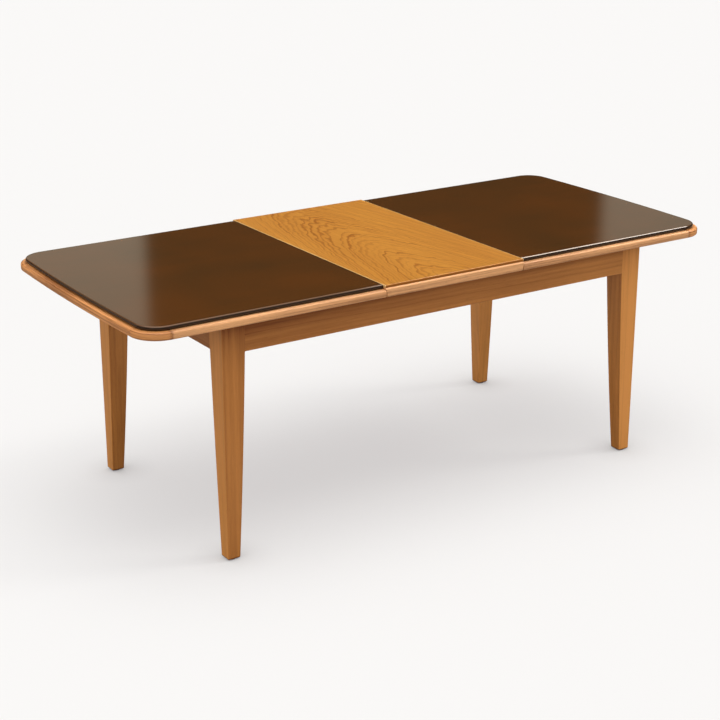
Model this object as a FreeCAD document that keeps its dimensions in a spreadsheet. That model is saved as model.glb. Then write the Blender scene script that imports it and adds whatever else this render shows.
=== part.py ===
"""Extending dining table: a legged frame, two half-tops on runners and a lift-out centre leaf.

Frame: X runs along the table, Y across it and Z up. The origin is on the floor under the
middle of the table. The table is drawn open, with its leaf in. All lengths are in millimetres.
"""
import FreeCAD, Part, Sketcher
import math
import operator
import os

document = FreeCAD.newDocument("extending_table")
sheet = document.addObject("Spreadsheet::Sheet", "Sizes")
sub_parts = {}


class Size:
    """A size: its value and the formula on the sheet that gives it."""

    def __init__(self, value, formula):
        self.value = float(value)
        self.formula = formula

    def __add__(self, other):
        return combined(self, "+", other)

    def __radd__(self, other):
        return combined(other, "+", self)

    def __sub__(self, other):
        return combined(self, "-", other)

    def __rsub__(self, other):
        return combined(other, "-", self)

    def __mul__(self, other):
        return combined(self, "*", other)

    def __rmul__(self, other):
        return combined(other, "*", self)

    def __truediv__(self, other):
        return combined(self, "/", other)

    def __neg__(self):
        return combined(-1, "*", self)


ARITHMETIC = {"+": operator.add, "-": operator.sub, "*": operator.mul, "/": operator.truediv}


def as_size(number):
    """Return a Size as it is, and a plain number as a Size."""
    return number if isinstance(number, Size) else Size(number, f"({number})")


def combined(first, sign, second):
    """Return the sum, difference, product or quotient of two sizes."""
    first, second = as_size(first), as_size(second)
    value = ARITHMETIC[sign](first.value, second.value)
    return Size(value, f"({first.formula} {sign} {second.formula})")


def root(amount):
    """Return the square root of a size."""
    return Size(math.sqrt(amount.value), f"sqrt({amount.formula})")


def arc_sine(ratio):
    """Return the angle, in degrees, whose sine is this ratio."""
    return Size(math.degrees(math.asin(ratio.value)), f"asin({ratio.formula})")


def size(name, number):
    """Write a driving size on the sheet under its name, and return it."""
    cell = f"A{len(sheet.getUsedCells()) + 1}"
    sheet.set(cell, str(number))
    sheet.setAlias(cell, name)
    sheet.recompute()
    return Size(sheet.get(name), f"Sizes.{name}")


# --- Driving sizes -------------------------------------------------------------------------
# The whole table, open
top_height = size("top_height", 750)
open_length = size("open_length", 2050)
top_width = size("top_width", 900)
leaf_width = size("leaf_width", 500)

# Half-tops: a board, the wooden edging round it and the dark panel that lies on both
panel_thickness = size("panel_thickness", 13)
panel_reveal = size("panel_reveal", 15)
panel_top_round = size("panel_top_round", 5.5)
panel_bottom_round = size("panel_bottom_round", 6.5)
edging_height = size("edging_height", 23)
edging_depth = size("edging_depth", 25)
edging_top_round = size("edging_top_round", 8)
edging_bottom_round = size("edging_bottom_round", 5)
corner_radius = size("corner_radius", 85)
end_bow = size("end_bow", 12)

# Leaf: its long edges lean inwards to the underside by this much for each millimetre down
leaf_lean = size("leaf_lean", 0.2)
leaf_edging_height = size("leaf_edging_height", 28)
leaf_edging_reveal = size("leaf_edging_reveal", 5)
leaf_top_round = size("leaf_top_round", 2)
leaf_clearance = size("leaf_clearance", 0.3)
batten_length = size("batten_length", 400)
batten_width = size("batten_width", 40)
batten_thickness = size("batten_thickness", 18)
batten_offset = size("batten_offset", 150)
batten_screw_pitch = size("batten_screw_pitch", 160)

# Legs and aprons: the frame stands back from the edges of the closed top
end_overhang = size("end_overhang", 13)
side_overhang = size("side_overhang", 45)
leg_top_width = size("leg_top_width", 72)
leg_foot_width = size("leg_foot_width", 40)
leg_bulge = size("leg_bulge", 2)
leg_edge_round = size("leg_edge_round", 2)
leg_flat = size("leg_flat", 20)
foot_chamfer = size("foot_chamfer", 2)
apron_height = size("apron_height", 89)
apron_thickness = size("apron_thickness", 22)
tenon_length = size("tenon_length", 30)
tenon_thickness = size("tenon_thickness", 10)
tenon_setback = size("tenon_setback", 6)
tenon_shoulder = size("tenon_shoulder", 12)
strip_thickness = size("strip_thickness", 2)
strip_width = size("strip_width", 12)
strip_margin = size("strip_margin", 40)
floor_glide_height = size("floor_glide_height", 3)
floor_glide_radius = size("floor_glide_radius", 14)

# Corner braces and the hanger bolts that pull the legs in
brace_thickness = size("brace_thickness", 28)
brace_height = size("brace_height", 40)
brace_drop = size("brace_drop", 5)
brace_gap = size("brace_gap", 4)
bolt_radius = size("bolt_radius", 4)
bolt_depth = size("bolt_depth", 35)
bolt_spare = size("bolt_spare", 5)
washer_radius = size("washer_radius", 10)
washer_thickness = size("washer_thickness", 1.6)
nut_across_flats = size("nut_across_flats", 13)
nut_height = size("nut_height", 6.5)

# Runners under the half-tops, and the cross rails and tongued guides that carry them
runner_width = size("runner_width", 30)
runner_height = size("runner_height", 40)
runner_end_gap = size("runner_end_gap", 10)
inner_runner_offset = size("inner_runner_offset", 250)
outer_runner_offset = size("outer_runner_offset", 300)
open_overtravel = size("open_overtravel", 30)
stop_peg_radius = size("stop_peg_radius", 5)
stop_peg_drop = size("stop_peg_drop", 12)
stop_peg_margin = size("stop_peg_margin", 10)
groove_depth = size("groove_depth", 8)
tongue_thickness = size("tongue_thickness", 10)
side_clearance = size("side_clearance", 0.5)
tongue_clearance = size("tongue_clearance", 0.3)
guide_headroom = size("guide_headroom", 1)
rail_width = size("rail_width", 60)
rail_thickness = size("rail_thickness", 20)
rail_housing = size("rail_housing", 8)
end_rail_offset = size("end_rail_offset", 380)
leaf_peg_radius = size("leaf_peg_radius", 5)
leaf_peg_drop = size("leaf_peg_drop", 12)
leaf_peg_embed = size("leaf_peg_embed", 15)
leaf_peg_clearance = size("leaf_peg_clearance", 0.5)

# Wood screws
screw_radius = size("screw_radius", 2.25)
screw_head_radius = size("screw_head_radius", 4.5)
screw_head_height = size("screw_head_height", 3)
screw_bite = size("screw_bite", 16)
runner_screw_margin = size("runner_screw_margin", 45)
counterbore_depth = size("counterbore_depth", 12)
guide_screw_offset = size("guide_screw_offset", 18)

# --- Places worked out from the driving sizes ------------------------------------------------
top_thickness = panel_thickness + edging_height
top_underside = top_height - top_thickness
panel_underside = top_height - panel_thickness
frame_top = top_underside - strip_thickness
apron_bottom = frame_top - apron_height
half_frame_length = (open_length - leaf_width) / 2 - end_overhang
half_frame_width = top_width / 2 - side_overhang
runner_bottom = top_underside - runner_height
rail_bottom = runner_bottom - rail_thickness
seam = leaf_width / 2
half_length = open_length / 2
half_width = top_width / 2

# The bowed end is one large arc, and each corner is a small arc tangent to it and to the side
bow_radius = (half_width * half_width + end_bow * end_bow) / (2 * end_bow)
bow_centre = half_length - bow_radius
corner_centre_y = half_width - corner_radius
corner_reach = bow_radius - corner_radius
corner_centre_x = bow_centre + root(corner_reach * corner_reach - corner_centre_y * corner_centre_y)
bow_angle = arc_sine(corner_centre_y / corner_reach)

# Pegs stop each half-top against the centre rail once it has been drawn past the leaf
stop_peg_place = rail_width / 2 + open_overtravel + stop_peg_radius
runner_inner_end = stop_peg_place + stop_peg_radius + stop_peg_margin
runner_outer_end = half_frame_length - apron_thickness - open_overtravel - runner_end_gap
guide_gap_middle = (inner_runner_offset + outer_runner_offset) / 2
guide_web = outer_runner_offset - inner_runner_offset - runner_width - 2 * side_clearance
guide_top = top_underside - guide_headroom
tongue_middle = runner_bottom + runner_height / 2


# --- Building tools --------------------------------------------------------------------------
NORMAL_SIGN = {"XY": 1, "XZ": -1, "YZ": 1}
NEAR = 0.01


def bind(thing, path, amount):
    """Tie a property of an object to the formula of a size."""
    thing.setExpression(path, as_size(amount).formula)


def new_body(label, listed=True):
    """Return an empty body, listed as a sub-part under its label unless it is cut further."""
    body = document.addObject("PartDesign::Body", label)
    body.Label = label
    if listed:
        sub_parts[label] = body
    return body


def new_sketch(body, plane, offset):
    """Return a sketch on one of the body's own planes, moved along the plane's normal."""
    sketch = body.newObject("Sketcher::SketchObject", f"{body.Label}_sketch")
    support = next(item for item in body.Origin.OriginFeatures if item.Role == f"{plane}_Plane")
    sketch.AttachmentSupport = (support, [""])
    sketch.MapMode = "FlatFace"
    bind(sketch, "AttachmentOffset.Base.z", offset)
    return sketch


def tie(sketch, kind, name, amount, *ends):
    """Add a dimension to a sketch and tie it to a size."""
    amount = as_size(amount)
    dimension = Sketcher.Constraint(kind, *ends, amount.value)
    dimension.Name = name
    sketch.addConstraint(dimension)
    bind(sketch, f"Constraints.{name}", amount)


def arc_between(start, finish, radius, turn):
    """Return the shorter arc from start to finish, anticlockwise for a turn of 1."""
    chord = finish - start
    rise = math.sqrt(max(radius * radius - chord.Length * chord.Length / 4, 0))
    centre = (start + finish) / 2 + FreeCAD.Vector(-chord.y, chord.x, 0).normalize() * rise * turn
    first, last = (start, finish) if turn > 0 else (finish, start)
    angles = [math.atan2(end.y - centre.y, end.x - centre.x) for end in (first, last)]
    circle = Part.Circle(centre, FreeCAD.Vector(0, 0, 1), radius)
    return Part.ArcOfCircle(circle, *angles)


def draw_outline(sketch, corners):
    """Draw a closed outline. A corner is (u, v), or (u, v, radius, turn) where an arc leaves it."""
    points = [FreeCAD.Vector(as_size(corner[0]).value, as_size(corner[1]).value, 0) for corner in corners]
    starts, ends = [], []
    for index, corner in enumerate(corners):
        start, finish = points[index], points[(index + 1) % len(points)]
        turn = corner[3] if len(corner) > 2 else 1
        if len(corner) > 2:
            sketch.addGeometry(arc_between(start, finish, corner[2].value, turn))
        else:
            sketch.addGeometry(Part.LineSegment(start, finish))
        starts.append(1 if turn > 0 else 2)
        ends.append(2 if turn > 0 else 1)
    for index in range(len(corners)):
        following = (index + 1) % len(corners)
        ends_meet = Sketcher.Constraint("Coincident", index, ends[index], following, starts[following])
        sketch.addConstraint(ends_meet)
    for index, corner in enumerate(corners):
        tie(sketch, "DistanceX", f"across{index}", corner[0], -1, 1, index, starts[index])
        tie(sketch, "DistanceY", f"along{index}", corner[1], -1, 1, index, starts[index])
        if len(corner) > 2:
            tie(sketch, "Radius", f"radius{index}", corner[2], index)


def draw_circles(sketch, centres, radius):
    """Draw equal circles at the given places."""
    for index, (across, along) in enumerate(centres):
        middle = FreeCAD.Vector(as_size(across).value, as_size(along).value, 0)
        sketch.addGeometry(Part.Circle(middle, FreeCAD.Vector(0, 0, 1), radius.value))
        tie(sketch, "DistanceX", f"across{index}", across, -1, 1, index, 3)
        tie(sketch, "DistanceY", f"along{index}", along, -1, 1, index, 3)
        tie(sketch, "Radius", f"radius{index}", radius, index)


def rectangle(left, low, right, high):
    """Return the four corners of a rectangle."""
    return [(left, low), (right, low), (right, high), (left, high)]


def pad(body, plane, corners, start, length):
    """Add a prism that reaches from start over length along the axis across the plane."""
    offset = start if NORMAL_SIGN[plane] > 0 else -(start + length)
    sketch = new_sketch(body, plane, offset)
    draw_outline(sketch, corners)
    feature = body.newObject("PartDesign::Pad", f"{body.Label}_pad")
    feature.Profile = sketch
    bind(feature, "Length", length)


def pocket(body, plane, draw, start, length):
    """Cut what draw puts in a sketch, from start over length along the axis across the plane."""
    offset = start + length if NORMAL_SIGN[plane] > 0 else -start
    sketch = new_sketch(body, plane, offset)
    draw(sketch)
    feature = body.newObject("PartDesign::Pocket", f"{body.Label}_pocket")
    feature.Profile = sketch
    bind(feature, "Length", length)


def cut_outline(body, plane, corners, start, length):
    """Cut a prism out of a body."""
    pocket(body, plane, lambda sketch: draw_outline(sketch, corners), start, length)


def drill(body, plane, centres, radius, start, length):
    """Drill equal round holes into a body."""
    pocket(body, plane, lambda sketch: draw_circles(sketch, centres, radius), start, length)


def revolve(body, corners, angle):
    """Turn an outline, drawn in radius and height, about the body's own vertical axis."""
    sketch = new_sketch(body, "XZ", 0)
    draw_outline(sketch, corners)
    feature = body.newObject("PartDesign::Revolution", f"{body.Label}_revolution")
    feature.Profile = sketch
    axis = next(item for item in body.Origin.OriginFeatures if item.Role == "Z_Axis")
    feature.ReferenceAxis = (axis, [""])
    bind(feature, "Angle", angle)


def soften(body, kind, amount, is_wanted):
    """Fillet or chamfer the edges that is_wanted picks by their middle and end points."""
    document.recompute()
    base = body.Tip
    names = []
    for number, edge in enumerate(base.Shape.Edges, start=1):
        middle = edge.valueAt((edge.FirstParameter + edge.LastParameter) / 2)
        points = [middle] + [vertex.Point for vertex in edge.Vertexes]
        if is_wanted(points):
            names.append(f"Edge{number}")
    feature = body.newObject(f"PartDesign::{kind}", f"{body.Label}_{kind}")
    feature.Base = (base, names)
    bind(feature, "Radius" if kind == "Fillet" else "Size", amount)


def all_at(points, axis, level):
    """Say whether every point lies at one level along an axis."""
    return all(abs(getattr(point, axis) - as_size(level).value) < NEAR for point in points)


def place(thing, x, y, z=0, angle=0):
    """Turn an object about the vertical and move its origin to a place."""
    angle = as_size(angle)
    thing.Placement = FreeCAD.Placement(
        FreeCAD.Vector(0, 0, 0), FreeCAD.Rotation(FreeCAD.Vector(0, 0, 1), angle.value)
    )
    if "Sizes" in angle.formula:
        bind(thing, "Placement.Rotation.Angle", angle)
    for axis, amount in zip("xyz", (x, y, z)):
        bind(thing, f"Placement.Base.{axis}", amount)


def cylinder(label, radius, height, x, y, z, axis=(0, 0, 1)):
    """Return a round bar that starts at a place and runs along an axis."""
    bar = document.addObject("Part::Cylinder", label)
    bar.Label = label
    bind(bar, "Radius", radius)
    bind(bar, "Height", height)
    bar.Placement.Rotation = FreeCAD.Rotation(FreeCAD.Vector(0, 0, 1), FreeCAD.Vector(*axis))
    for name, amount in zip("xyz", (x, y, z)):
        bind(bar, f"Placement.Base.{name}", amount)
    return bar


def box(label, x, y, z, length, width, height):
    """Return a box from its low corner."""
    block = document.addObject("Part::Box", label)
    block.Label = label
    amounts = {"Length": length, "Width": width, "Height": height}
    amounts.update({"Placement.Base.x": x, "Placement.Base.y": y, "Placement.Base.z": z})
    for name, amount in amounts.items():
        bind(block, name, amount)
    return block


def hollowed(label, blank, bore):
    """Return a piece with a bar bored out of it."""
    ring = document.addObject("Part::Cut", label)
    ring.Label = label
    ring.Base = blank
    ring.Tool = bore
    return ring


def fused(label, pieces):
    """Return one solid made of several touching pieces."""
    whole = document.addObject("Part::MultiFuse", label)
    whole.Label = label
    whole.Shapes = pieces
    return whole


def grouped(label, pieces):
    """List equal loose pieces as one sub-part."""
    group = document.addObject("Part::Compound", label)
    group.Label = label
    group.Links = pieces
    sub_parts[label] = group


def screw(label, x, y, z, grip):
    """Return a pan-head screw under z whose shank goes up through grip and bites above it."""
    head = cylinder(f"{label}_head", screw_head_radius, screw_head_height, x, y, z - screw_head_height)
    shank = cylinder(f"{label}_shank", screw_radius, grip + screw_bite, x, y, z)
    return fused(label, [head, shank])


# --- Shapes used by more than one piece -------------------------------------------------------
RIGHT_ANGLE = Size(90, "90 deg")
HALF_TURN = Size(180, "180 deg")
CORNERS = {
    "back_right": (1, 1, 0),
    "back_left": (-1, 1, 90),
    "front_left": (-1, -1, 180),
    "front_right": (1, -1, 270),
}
SIDES = {"front": -1, "back": 1}
ENDS = {"left": -1, "right": 1}


def end_outline(inset):
    """Return the outline of the right half-top, moved inwards: two corners and a bowed end."""
    side = half_width - inset
    corner = corner_radius - inset
    tangent_x = corner_centre_x + corner * (corner_centre_x - bow_centre) / corner_reach
    tangent_y = corner_centre_y + corner * corner_centre_y / corner_reach
    return [
        (seam, -side),
        (corner_centre_x, -side, corner, 1),
        (tangent_x, -tangent_y, bow_radius - inset, 1),
        (tangent_x, tangent_y, corner, 1),
        (corner_centre_x, side),
        (seam, side),
    ]


def edging_profile(outer, sign):
    """Return the section of the edging: a flat back and an outer face rounded above and below."""
    return [
        (sign * (outer - edging_depth), top_underside),
        (sign * (outer - edging_bottom_round), top_underside, edging_bottom_round, sign),
        (sign * outer, top_underside + edging_bottom_round),
        (sign * outer, panel_underside - edging_top_round, edging_top_round, sign),
        (sign * (outer - edging_top_round), panel_underside),
        (sign * (outer - edging_depth), panel_underside),
    ]


def across_both_sides(offset, places):
    """Return (x, y) for every place along the table, at this offset to the front and the back."""
    return [(x, sign * offset) for sign in SIDES.values() for x in places]


# --- Legs ------------------------------------------------------------------------------------
# Four equal square legs. The two outer faces are plumb and the two inner faces taper below the
# apron in a slight curve. Each leg is drawn with its outer corner on the axis, then turned.
taper = leg_top_width - leg_foot_width
taper_height = apron_bottom - floor_glide_height
taper_radius = ((taper * taper + taper_height * taper_height) / 4 + leg_bulge * leg_bulge) / (2 * leg_bulge)
tenon_low = apron_bottom + tenon_shoulder
tenon_high = frame_top - tenon_shoulder
tenon_far = tenon_setback + tenon_thickness
diagonal = root(as_size(2))
flat_place = leg_top_width - leg_flat / 2
bolt_height = runner_bottom - brace_drop - brace_height / 2


def is_leg_arris(points):
    """Pick the plumb outer edge and the two long edges of the taper beside it."""
    heights = [point.z for point in points]
    outer_corner = all_at(points, "x", 0) and all_at(points, "y", 0)
    beside_taper = all_at(points, "x", 0) or all_at(points, "y", 0)
    below_apron = max(heights) < apron_bottom.value + NEAR
    is_long = max(heights) - min(heights) > taper_height.value / 2
    return is_long and (outer_corner or (beside_taper and below_apron))


def bolt_bar(label, corner, radius, start, length):
    """Return a bar on a corner's diagonal, from start before the leg's flat over its length."""
    x_sign, y_sign, _ = CORNERS[corner]
    reach = flat_place + start / diagonal
    x = x_sign * (half_frame_length - reach)
    y = y_sign * (half_frame_width - reach)
    return cylinder(label, radius, length, x, y, bolt_height, (-x_sign, -y_sign, 0))


def build_leg(corner):
    """Build one leg with its taper, the flat for its brace, two mortises and a bolt hole."""
    x_sign, y_sign, angle = CORNERS[corner]
    label = f"leg_{corner}"
    body = new_body(f"{label}_blank", listed=False)
    profile = [
        (0, floor_glide_height),
        (0, frame_top),
        (-leg_top_width, frame_top),
        (-leg_top_width, apron_bottom, taper_radius, 1),
        (-leg_foot_width, floor_glide_height),
    ]
    waste = [
        (-leg_top_width, apron_bottom, taper_radius, 1),
        (-leg_foot_width, floor_glide_height),
        (-leg_top_width - taper, floor_glide_height),
        (-leg_top_width - taper, apron_bottom),
    ]
    flat = [
        (-leg_top_width, -leg_top_width),
        (leg_flat - leg_top_width, -leg_top_width),
        (-leg_top_width, leg_flat - leg_top_width),
    ]
    mortise = rectangle(-tenon_far, tenon_low, -tenon_setback, tenon_high)
    pad(body, "XZ", profile, -leg_top_width, leg_top_width)
    cut_outline(body, "YZ", waste, -leg_top_width, leg_top_width)
    soften(body, "Chamfer", foot_chamfer, lambda points: all_at(points, "z", floor_glide_height))
    soften(body, "Fillet", leg_edge_round, is_leg_arris)
    cut_outline(body, "XY", flat, apron_bottom, apron_height)
    cut_outline(body, "YZ", mortise, -leg_top_width, tenon_length)
    cut_outline(body, "XZ", mortise, -leg_top_width, tenon_length)
    place(body, x_sign * half_frame_length, y_sign * half_frame_width, 0, angle)
    hole = bolt_bar(f"{label}_bolt_hole", corner, bolt_radius, -bolt_depth, bolt_depth)
    sub_parts[label] = hollowed(label, body, hole)


def build_floor_glides():
    """Build the round plastic glides under the feet."""
    reach_x = half_frame_length - leg_foot_width / 2
    reach_y = half_frame_width - leg_foot_width / 2
    glides = []
    for corner, (x_sign, y_sign, _) in CORNERS.items():
        label = f"floor_glide_{corner}"
        glides.append(
            cylinder(label, floor_glide_radius, floor_glide_height, x_sign * reach_x, y_sign * reach_y, 0)
        )
    grouped("floor_glides", glides)


# --- Aprons ------------------------------------------------------------------------------------
# Four boards flush with the outer faces of the legs, each with a tenon at both ends. The long
# ones are housed out for the cross rails, and plastic strips on top carry the half-tops.
RAILS = {"rail_left": -end_rail_offset, "rail_centre": as_size(0), "rail_right": end_rail_offset}


def build_long_apron(side):
    """Build the front or back apron."""
    sign = SIDES[side]
    body = new_body(f"apron_{side}")
    shoulder = half_frame_length - leg_top_width
    outer = sign * half_frame_width
    inner = outer - sign * apron_thickness
    board = rectangle(inner, apron_bottom, outer, frame_top)
    tenon = rectangle(outer - sign * tenon_far, tenon_low, outer - sign * tenon_setback, tenon_high)
    pad(body, "YZ", board, -shoulder, 2 * shoulder)
    pad(body, "YZ", tenon, -shoulder - tenon_length, 2 * (shoulder + tenon_length))
    for middle in RAILS.values():
        housing = rectangle(middle - rail_width / 2, inner, middle + rail_width / 2, inner + sign * rail_housing)
        cut_outline(body, "XY", housing, rail_bottom, rail_thickness)


def build_end_apron(end):
    """Build the left or right apron."""
    sign = ENDS[end]
    body = new_body(f"apron_{end}")
    shoulder = half_frame_width - leg_top_width
    outer = sign * half_frame_length
    board = rectangle(outer - sign * apron_thickness, apron_bottom, outer, frame_top)
    tenon = rectangle(outer - sign * tenon_far, tenon_low, outer - sign * tenon_setback, tenon_high)
    pad(body, "XZ", board, -shoulder, 2 * shoulder)
    pad(body, "XZ", tenon, -shoulder - tenon_length, 2 * (shoulder + tenon_length))


def build_glide_strips():
    """Build the low-friction strips along the top edges of the aprons."""
    setback = apron_thickness / 2
    long_half = half_frame_length - leg_top_width - strip_margin
    short_half = half_frame_width - leg_top_width - strip_margin
    strips = []
    for side, sign in SIDES.items():
        low = sign * (half_frame_width - setback) - strip_width / 2
        strips.append(
            box(f"strip_{side}", -long_half, low, frame_top, 2 * long_half, strip_width, strip_thickness)
        )
    for end, sign in ENDS.items():
        low = sign * (half_frame_length - setback) - strip_width / 2
        strips.append(
            box(f"strip_{end}", low, -short_half, frame_top, strip_width, 2 * short_half, strip_thickness)
        )
    grouped("glide_strips", strips)


# --- Corner braces ---------------------------------------------------------------------------
# A block across each corner is glued to both aprons. A hanger bolt in the leg passes through it,
# and its nut pulls the leg up against the aprons.
brace_near = 2 * flat_place + brace_gap * diagonal
brace_far = brace_near + brace_thickness * diagonal


def build_brace(corner):
    """Build one mitred block, drawn from the outer corner of its leg, then turned."""
    x_sign, y_sign, angle = CORNERS[corner]
    label = f"corner_brace_{corner}"
    body = new_body(f"{label}_blank", listed=False)
    outline = [
        (-apron_thickness, apron_thickness - brace_near),
        (apron_thickness - brace_near, -apron_thickness),
        (apron_thickness - brace_far, -apron_thickness),
        (-apron_thickness, apron_thickness - brace_far),
    ]
    pad(body, "XY", outline, bolt_height - brace_height / 2, brace_height)
    place(body, x_sign * half_frame_length, y_sign * half_frame_width, 0, angle)
    hole = bolt_bar(f"{label}_bolt_hole", corner, bolt_radius, brace_gap, brace_thickness)
    sub_parts[label] = hollowed(label, body, hole)


def build_leg_fixings():
    """Build the hanger bolts with their washers and nuts."""
    washer_start = brace_gap + brace_thickness
    nut_start = washer_start + washer_thickness
    bolt_length = bolt_depth + nut_start + nut_height + bolt_spare
    bolts, washers, nuts = [], [], []
    for corner, (x_sign, y_sign, _) in CORNERS.items():
        bolts.append(bolt_bar(f"leg_bolt_{corner}", corner, bolt_radius, -bolt_depth, bolt_length))
        disc = bolt_bar(f"washer_disc_{corner}", corner, washer_radius, washer_start, washer_thickness)
        bore = bolt_bar(f"washer_bore_{corner}", corner, bolt_radius, washer_start, washer_thickness)
        washers.append(hollowed(f"leg_washer_{corner}", disc, bore))
        reach = flat_place + nut_start / diagonal
        hexagon = document.addObject("Part::Prism", f"nut_hexagon_{corner}")
        hexagon.Polygon = 6
        bind(hexagon, "Circumradius", nut_across_flats / root(as_size(3)))
        bind(hexagon, "Height", nut_height)
        hexagon.Placement.Rotation = FreeCAD.Rotation(
            FreeCAD.Vector(0, 0, 1), FreeCAD.Vector(-x_sign, -y_sign, 0)
        )
        bind(hexagon, "Placement.Base.x", x_sign * (half_frame_length - reach))
        bind(hexagon, "Placement.Base.y", y_sign * (half_frame_width - reach))
        bind(hexagon, "Placement.Base.z", bolt_height)
        bore = bolt_bar(f"nut_bore_{corner}", corner, bolt_radius, nut_start, nut_height)
        nuts.append(hollowed(f"leg_nut_{corner}", hexagon, bore))
    grouped("leg_bolts", bolts)
    grouped("leg_washers", washers)
    grouped("leg_nuts", nuts)


# --- Cross rails and guides ----------------------------------------------------------------------
# Three flat rails are housed in the long aprons and carry the runners. A tongued guide stands on
# each rail between the paths of the runners. Its tongues ride in grooves in the runners, so that
# a half-top can't tip when someone leans on its end.
guide_screws_on = [-guide_screw_offset, guide_screw_offset]
tongue_reach = (outer_runner_offset - inner_runner_offset - runner_width) / 2 + groove_depth - side_clearance


def build_rail(label):
    """Build one cross rail, drilled for the screws of its guides."""
    middle = RAILS[label]
    body = new_body(label)
    reach = half_frame_width - apron_thickness + rail_housing
    outline = rectangle(middle - rail_width / 2, -reach, middle + rail_width / 2, reach)
    pad(body, "XY", outline, rail_bottom, rail_thickness)
    places = [middle + offset for offset in guide_screws_on]
    holes = across_both_sides(guide_gap_middle, places)
    drill(body, "XY", holes, screw_radius, rail_bottom, rail_thickness)


def build_guide(label, rail, side, tongue_low, tongue_high):
    """Build one guide: a web with a tongue between two distances from its middle."""
    start = RAILS[rail] - rail_width / 2
    sign = SIDES[side]
    middle = sign * guide_gap_middle
    body = new_body(label)
    web = rectangle(middle - guide_web / 2, runner_bottom, middle + guide_web / 2, guide_top)
    tongue = rectangle(
        middle + sign * tongue_low,
        tongue_middle - tongue_thickness / 2,
        middle + sign * tongue_high,
        tongue_middle + tongue_thickness / 2,
    )
    pad(body, "YZ", web, start, rail_width)
    pad(body, "YZ", tongue, start, rail_width)
    holes = [(RAILS[rail] + offset, middle) for offset in guide_screws_on]
    drill(body, "XY", holes, screw_radius, runner_bottom, screw_bite)
    return body


def build_guides():
    """Build the guides. Those in the middle serve both half-tops and locate the leaf's pegs."""
    for side, sign in SIDES.items():
        centre = build_guide(f"guide_centre_{side}", "rail_centre", side, -tongue_reach, tongue_reach)
        peg_hole = [(0, sign * guide_gap_middle)]
        hole_radius = leaf_peg_radius + leaf_peg_clearance
        drill(centre, "XY", peg_hole, hole_radius, guide_top - leaf_peg_drop, leaf_peg_drop)
        build_guide(f"guide_left_{side}", "rail_left", side, 0, tongue_reach)
        build_guide(f"guide_right_{side}", "rail_right", side, -tongue_reach, 0)


def build_guide_screws():
    """Build the screws that go up through the rails into the guides."""
    screws = []
    for label, middle in RAILS.items():
        places = [middle + offset for offset in guide_screws_on]
        for x, y in across_both_sides(guide_gap_middle, places):
            screws.append(screw(f"guide_screw_{len(screws)}", x, y, rail_bottom, rail_thickness))
    grouped("guide_screws", screws)


# --- Half-tops -------------------------------------------------------------------------------
# Everything of a half-top is drawn for the right end. The left one is the same, turned half a
# turn, except that its runners lie outside those of the right one so that they pass each other.
RUNNER_OFFSETS = {"left": outer_runner_offset, "right": inner_runner_offset}
RUNNER_SCREWS = 4
runner_screw_pitch = (runner_outer_end - seam - 2 * runner_screw_margin) / (RUNNER_SCREWS - 1)
runner_screw_places = [seam + runner_screw_margin + step * runner_screw_pitch for step in range(RUNNER_SCREWS)]


def turned_side(end, side):
    """Return the side that a piece drawn for the right end lies on once it is at this end."""
    return side if end == "right" else {"front": "back", "back": "front"}[side]


def place_at_end(body, end, x=0, y=0, angle=0):
    """Place a piece that is drawn for the right end at either end."""
    sign = ENDS[end]
    turn = as_size(angle) if end == "right" else as_size(angle) + HALF_TURN
    place(body, sign * x, sign * y, 0, turn)


def build_board(end):
    """Build the board under the panel, with pilot holes for the runner screws."""
    body = new_body(f"board_{end}")
    pad(body, "XY", end_outline(edging_depth), top_underside, edging_height)
    holes = across_both_sides(RUNNER_OFFSETS[end], runner_screw_places)
    drill(body, "XY", holes, screw_radius, top_underside, screw_bite)
    place_at_end(body, end)


def build_panel(end):
    """Build the dark panel. Its inner edge leans back like the edge of the leaf above it."""
    body = new_body(f"panel_{end}")
    wedge = [
        (seam, panel_underside),
        (seam + leaf_lean * panel_thickness, top_height),
        (seam, top_height),
    ]
    pad(body, "XY", end_outline(panel_reveal), panel_underside, panel_thickness)
    soften(body, "Fillet", panel_top_round, is_panel_rim(top_height))
    soften(body, "Fillet", panel_bottom_round, is_panel_rim(panel_underside))
    cut_outline(body, "XZ", wedge, -half_width, top_width)
    place_at_end(body, end)


def is_panel_rim(height):
    """Return a test that picks a panel's edges at a height, except the one at the leaf."""
    return lambda points: all_at(points, "z", height) and not all_at(points, "x", seam)


def build_edging(end):
    """Build the edging: two straight pieces, two corners and the bowed end."""
    for side, sign in SIDES.items():
        outer_side = turned_side(end, side)
        straight = new_body(f"edging_{outer_side}_{end}")
        pad(straight, "YZ", edging_profile(half_width, sign), seam, corner_centre_x - seam)
        place_at_end(straight, end)
        corner = new_body(f"edging_corner_{outer_side}_{end}")
        revolve(corner, edging_profile(corner_radius, 1), RIGHT_ANGLE - bow_angle)
        start_angle = bow_angle if sign > 0 else -RIGHT_ANGLE
        place_at_end(corner, end, corner_centre_x, sign * corner_centre_y, start_angle)
    bowed = new_body(f"edging_end_{end}")
    revolve(bowed, edging_profile(bow_radius, 1), 2 * bow_angle)
    place_at_end(bowed, end, bow_centre, 0, -bow_angle)


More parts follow.
